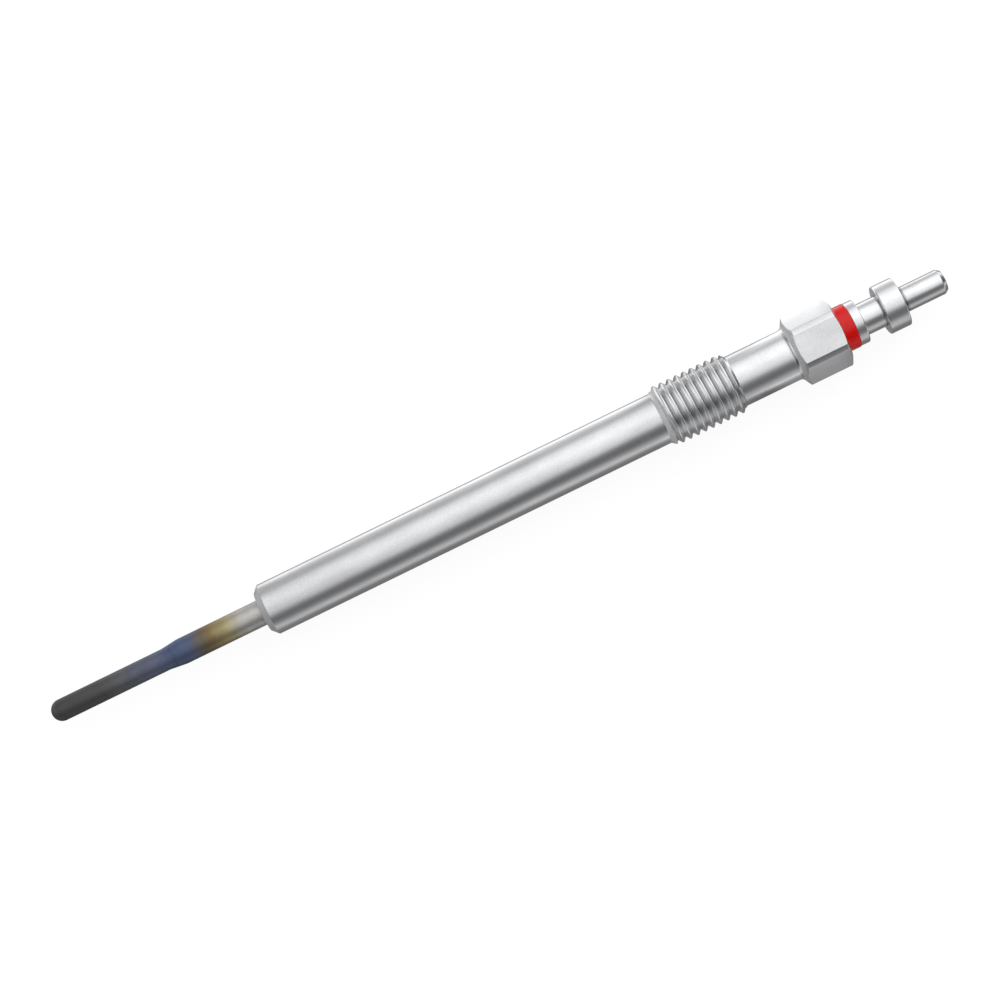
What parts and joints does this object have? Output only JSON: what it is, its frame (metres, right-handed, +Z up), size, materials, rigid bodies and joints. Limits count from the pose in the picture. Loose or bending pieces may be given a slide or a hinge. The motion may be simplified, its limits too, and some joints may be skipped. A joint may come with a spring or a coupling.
{
  "type": "diesel glow plug",
  "caption": "Sheathed diesel glow plug: slim heater tube, threaded steel housing with a hexagon, red insulating washer and a push-on terminal pin.",
  "frame": {"origin": "on the plug's axis, in the plane of the housing's end face where the glow tube comes out", "axes": "+X along the axis towards the terminal, so the glow tube points to -X; +Z up, with a hexagon flat underneath; +Y across, towards a hexagon corner"},
  "size_m": [0.119, 0.0088, 0.008],
  "materials": {
    "housing_steel": "satin bright plated, fine turning marks",
    "sheath_alloy": "satin, heat-tinted from steel grey through gold and blue to dark grey at the tip",
    "heating_wire": "drawn resistance wire",
    "regulating_wire": "drawn wire",
    "magnesia": "matt pressed powder",
    "seal_rubber": "matt moulded",
    "rod_steel": "drawn",
    "red_plastic": "satin moulded",
    "terminal_steel": "satin bright plated, turned"
  },
  "bodies": {
    "root": {"housing": "housing_steel", "glow_tube": "sheath_alloy", "heating_coil": "heating_wire", "regulating_coil": "regulating_wire", "magnesia_filling": "magnesia", "tube_seal": "seal_rubber", "centre_rod": "rod_steel", "o_ring": "seal_rubber", "insulating_washer": "red_plastic", "terminal_pin": "terminal_steel"}
  },
  "joints": []
}
